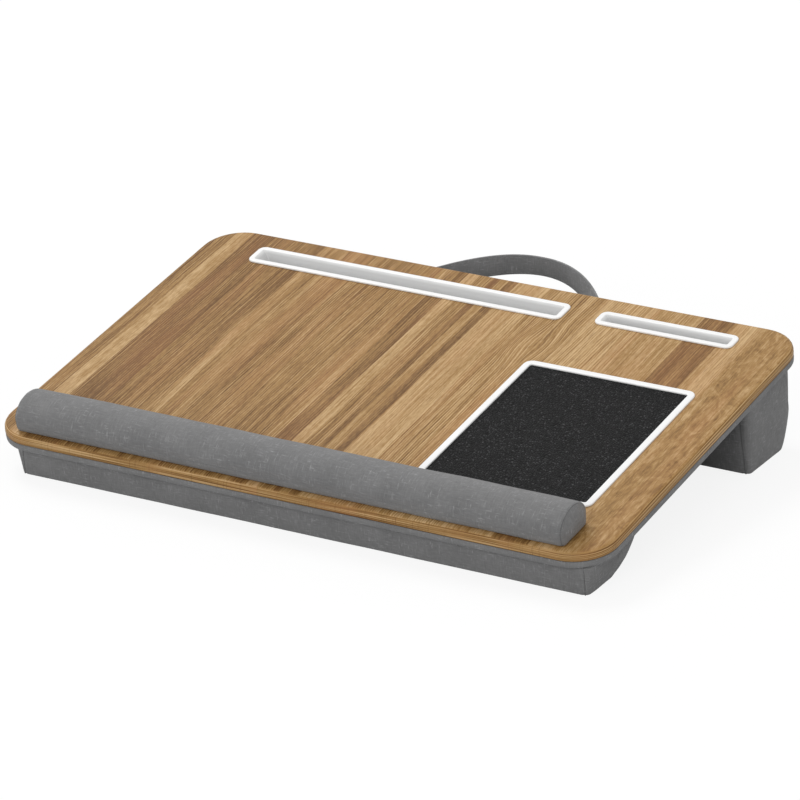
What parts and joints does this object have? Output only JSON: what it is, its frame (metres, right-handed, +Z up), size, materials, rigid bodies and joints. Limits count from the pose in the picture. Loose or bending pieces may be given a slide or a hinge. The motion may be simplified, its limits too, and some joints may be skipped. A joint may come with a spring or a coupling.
{
  "type": "lap desk",
  "caption": "Wedge-shaped lap tray: a wood-grain board on two fabric cushions, with tablet and phone slots, an inset mouse mat, a padded wrist rest and a carrying strap.",
  "frame": {"origin": "on the ground, below the middle of the tray's outline as seen from above", "axes": "+X to the user's right along the board's long side, +Y from the user towards the raised back edge, +Z up; the board itself is tilted 8.3 degrees about X"},
  "size_m": [0.6, 0.4719, 0.0972],
  "materials": {
    "oak_laminate": "satin",
    "fibreboard": "matte",
    "white_plastic": "satin",
    "black_leather": "satin",
    "grey_cloth": "matte",
    "foam": "matte",
    "strip_plastic": "matte",
    "tape": "matte"
  },
  "bodies": {
    "tray": {"board_core": "fibreboard", "board_laminate": "oak_laminate", "panel_core": "fibreboard", "panel_cloth": "grey_cloth", "tablet_slot": "white_plastic", "phone_slot": "white_plastic", "mat_frame": "white_plastic", "mat_leather": "black_leather", "mat_foam": "foam", "wrist_cover": "grey_cloth", "wrist_foam": "foam", "wrist_strip": "strip_plastic", "wrist_tape_left": "tape", "wrist_tape_right": "tape", "strap_tail_left": "grey_cloth", "strap_tail_right": "grey_cloth", "front_cover": "grey_cloth", "front_foam": "foam", "rear_cover": "grey_cloth", "rear_foam": "foam"},
    "strap": {"carry_strap": "grey_cloth"}
  },
  "joints": [
    {"name": "strap_swing", "type": "hinge", "parent": "tray", "child": "strap", "pos_m": [-0.0035, 0.14859, 0.07145], "axis": [1, 0, 0], "range_deg": [-55, 0], "stiffness_Nm_per_rad": 0.15}
  ]
}
